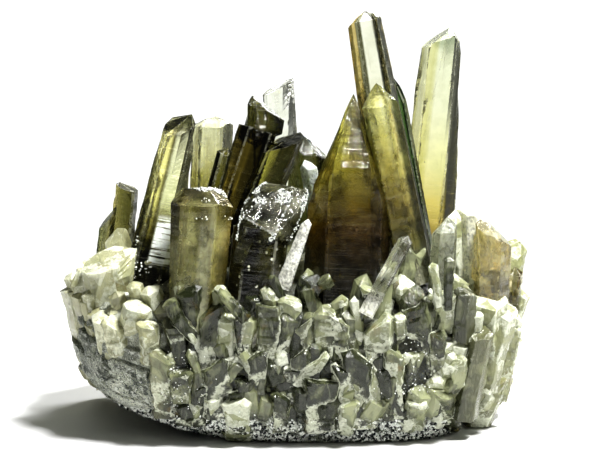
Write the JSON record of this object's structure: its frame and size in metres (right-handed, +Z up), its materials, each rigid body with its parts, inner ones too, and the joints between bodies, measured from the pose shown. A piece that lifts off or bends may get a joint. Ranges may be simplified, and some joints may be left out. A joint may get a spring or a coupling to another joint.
{
  "type": "smoky quartz crystal cluster",
  "caption": "Free-standing smoky quartz cluster: dark and honey-coloured prisms rising from a mass of milky quartz with a flat underside.",
  "frame": {"origin": "middle of the flat underside, below the middle of the bounding box", "axes": "+Z up as the cluster stands, +X to the right of the side that the picture shows, +Y to its back"},
  "size_m": [0.1168, 0.079, 0.1029],
  "materials": {
    "milky_quartz": "translucent, rough and granular",
    "crystal_left_honey": "natural crystal faces, see-through in part",
    "crystal_back_milky": "natural crystal faces, see-through in part",
    "crystals_dark_group": "natural crystal faces, see-through in part",
    "crystals_back_dark": "natural crystal faces, see-through in part",
    "crystal_grey_slanted": "natural crystal faces, see-through in part",
    "crystal_back_clear": "natural crystal faces, see-through in part",
    "crystals_olive_pair": "natural crystal faces, see-through in part",
    "crystal_front_left": "natural crystal faces, see-through in part",
    "crystals_front_druzy": "natural crystal faces, see-through in part",
    "crystals_tall_group": "natural crystal faces, see-through in part",
    "crystal_right_tall": "natural crystal faces, see-through in part",
    "crystals_right_block": "natural crystal faces, see-through in part",
    "crystal_far_right": "natural crystal faces, see-through in part",
    "crystal_grey_druzy": "natural crystal faces, see-through in part",
    "crystal_leaning_clear": "natural crystal faces, see-through in part"
  },
  "bodies": {
    "root": {"matrix": "milky_quartz", "crystal_left_honey": "crystal_left_honey", "crystal_back_milky": "crystal_back_milky", "crystals_dark_group": "crystals_dark_group", "crystals_back_dark": "crystals_back_dark", "crystal_grey_slanted": "crystal_grey_slanted", "crystal_back_clear": "crystal_back_clear", "crystals_olive_pair": "crystals_olive_pair", "crystal_front_left": "crystal_front_left", "crystals_front_druzy": "crystals_front_druzy", "crystals_tall_group": "crystals_tall_group", "crystal_right_tall": "crystal_right_tall", "crystals_right_block": "crystals_right_block", "crystal_far_right": "crystal_far_right", "crystal_grey_druzy": "crystal_grey_druzy", "crystal_leaning_clear": "crystal_leaning_clear"}
  },
  "joints": []
}
